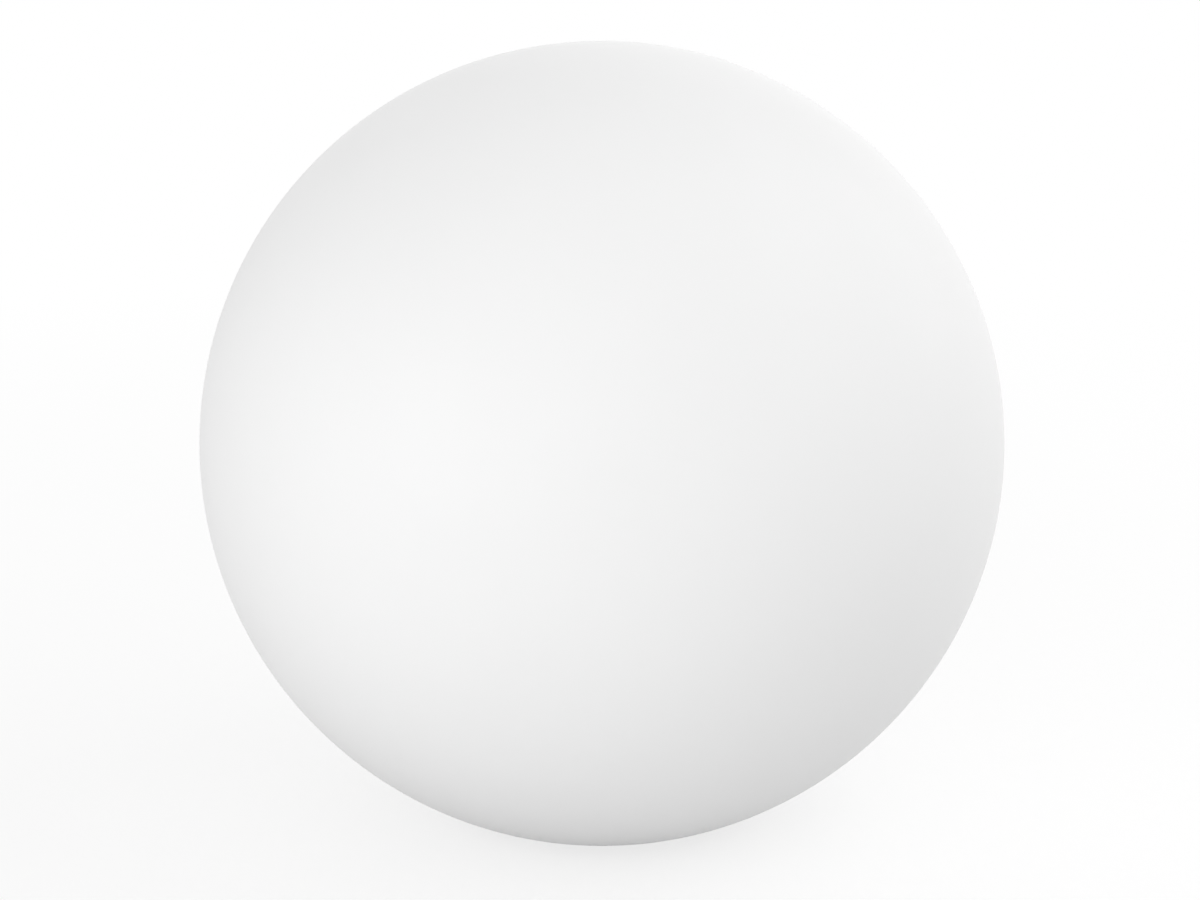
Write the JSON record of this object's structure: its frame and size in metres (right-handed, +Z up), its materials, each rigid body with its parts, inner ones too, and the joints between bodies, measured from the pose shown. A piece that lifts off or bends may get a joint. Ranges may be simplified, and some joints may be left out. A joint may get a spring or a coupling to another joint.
{
  "type": "outdoor floor lamp",
  "caption": "White ball-shaped floor lamp for outdoors: a moulded globe twists off a low round base, which carries a bulb on a column.",
  "frame": {"origin": "on the floor, under the middle of the globe", "axes": "+Z up along the globe's axis, +Y towards the back, where the cable leaves, +X to the right seen from the front"},
  "size_m": [0.4998, 0.4998, 0.4884],
  "materials": {
    "globe_plastic": "satin moulded polyethylene, white",
    "white_plastic": "satin moulded plastic, white",
    "grey_plastic": "matte moulded plastic, dark grey",
    "gland_plastic": "matte moulded nylon, light grey",
    "terminal_plastic": "translucent nylon",
    "rubber": "matte rubber",
    "pad_rubber": "soft matte rubber",
    "brass": "machined brass",
    "plated_steel": "bright zinc plating",
    "plated_brass": "nickel plating",
    "ceramic": "unglazed steatite",
    "holder_plastic": "glossy thermoset, white",
    "cap_insulator": "glossy black insulator",
    "bulb_plastic": "satin thermoplastic, white",
    "bulb_diffuser": "frosted opal plastic",
    "board": "white-coated aluminium board",
    "led": "yellow phosphor",
    "driver_board": "green circuit board",
    "brown_wire": "brown insulation",
    "blue_wire": "blue insulation"
  },
  "bodies": {
    "base": {"base_housing": "grey_plastic", "foot_pads": "pad_rubber", "gland_body": "gland_plastic", "gland_washer": "rubber", "gland_locknut": "gland_plastic", "gland_plug": "rubber", "gland_cap": "gland_plastic", "cover": "white_plastic", "cover_screws": "plated_steel", "column": "white_plastic", "column_screws": "plated_steel", "nipple": "plated_steel", "nipple_nut": "plated_steel", "holder_dome": "holder_plastic", "contact_block": "ceramic", "holder_shell": "holder_plastic", "thread_sleeve": "plated_brass", "centre_contact": "brass", "contact_rivets": "brass", "terminal_block": "terminal_plastic", "terminal_tubes": "brass", "clamp_screws": "plated_steel", "terminal_screw": "plated_steel", "live_wire": "brown_wire", "neutral_wire": "blue_wire"},
    "seal_ring": {"globe_seal": "rubber"},
    "globe_body": {"globe": "globe_plastic", "neck_inserts": "brass", "neck_gasket": "rubber", "neck_ring": "white_plastic", "neck_screws": "plated_steel"},
    "bulb_contact": {"bulb_tip": "plated_brass"},
    "bulb_body": {"bulb_insulator": "cap_insulator", "bulb_cap": "plated_brass", "bulb_housing": "bulb_plastic", "bulb_board": "board", "bulb_leds": "led", "bulb_driver": "driver_board", "bulb_dome": "bulb_diffuser"}
  },
  "joints": [
    {"name": "globe_lift", "type": "slide", "parent": "base", "child": "seal_ring", "axis": [0, 0, 1], "range_m": [0, 0.3001]},
    {"name": "globe_turn", "type": "hinge", "parent": "seal_ring", "child": "globe_body", "pos_m": [0, 0, 0.009], "axis": [0, 0, 1], "range_deg": [0, 1500]},
    {"name": "bulb_lift", "type": "slide", "parent": "base", "child": "bulb_contact", "axis": [0, 0, 1], "range_m": [0, 0.01634]},
    {"name": "bulb_turn", "type": "hinge", "parent": "bulb_contact", "child": "bulb_body", "pos_m": [0, 0, 0.16], "axis": [0, 0, 1], "range_deg": [0, 1620]}
  ],
  "couplings": [
    {"joint": "globe_lift", "follows": "globe_turn", "m_per_rad": 0.011459},
    {"joint": "bulb_lift", "follows": "bulb_turn", "m_per_rad": 0.0005775}
  ]
}
